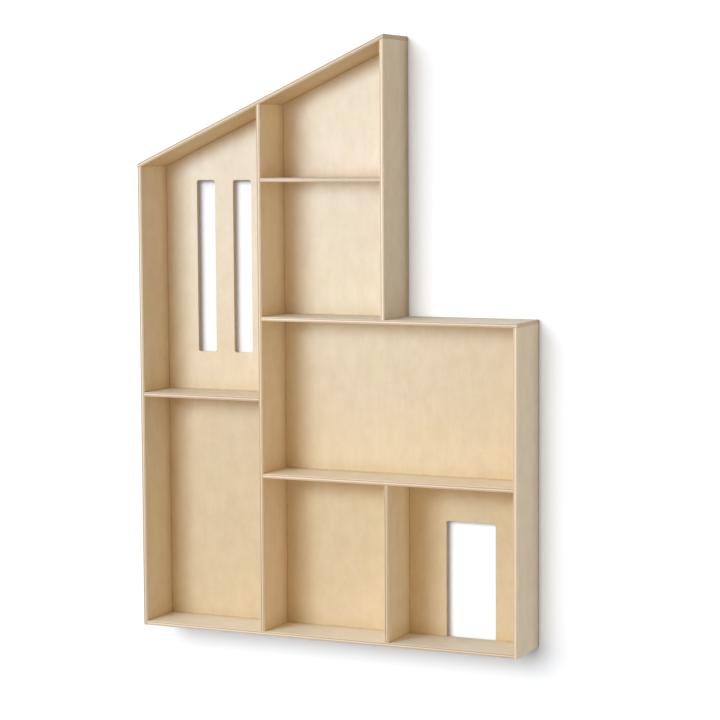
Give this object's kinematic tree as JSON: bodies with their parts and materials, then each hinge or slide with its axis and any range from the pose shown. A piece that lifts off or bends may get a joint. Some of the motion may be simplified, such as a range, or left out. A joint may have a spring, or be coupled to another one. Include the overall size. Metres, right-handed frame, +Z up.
{
  "type": "house-shaped wall shelf",
  "caption": "House-shaped plywood wall shelf: a tower with a sloping roof beside a lower flat-roofed wing, open-fronted rooms, and windows and a doorway cut through the back panel.",
  "frame": {"origin": "on the wall plane, midway between the centres of the two keyholes' entry holes", "axes": "+X to the right seen from the front, +Y into the wall, +Z up; the open front faces -Y"},
  "size_m": [0.55, 0.08, 0.8],
  "materials": {
    "board_ply": "birch plywood with a clear matt lacquer, layered edges showing",
    "panel_ply": "thin birch plywood with a clear matt lacquer",
    "pad_ply": "raw birch plywood",
    "plate_steel": "zinc-plated sheet steel",
    "screw_steel": "zinc-plated steel",
    "pin_steel": "bright steel wire"
  },
  "bodies": {
    "root": {"back_panel": "panel_ply", "left_side": "board_ply", "right_side": "board_ply", "tower_side": "board_ply", "sloping_roof": "board_ply", "low_roof": "board_ply", "floor_board": "board_ply", "long_divider": "board_ply", "short_divider": "board_ply", "left_shelf": "board_ply", "tower_shelf": "board_ply", "room_shelf": "board_ply", "hanger_pad_left": "pad_ply", "hanger_pad_right": "pad_ply", "hanger_plate_left": "plate_steel", "hanger_plate_right": "plate_steel", "hanger_screws": "screw_steel", "panel_pins": "pin_steel"}
  },
  "joints": []
}
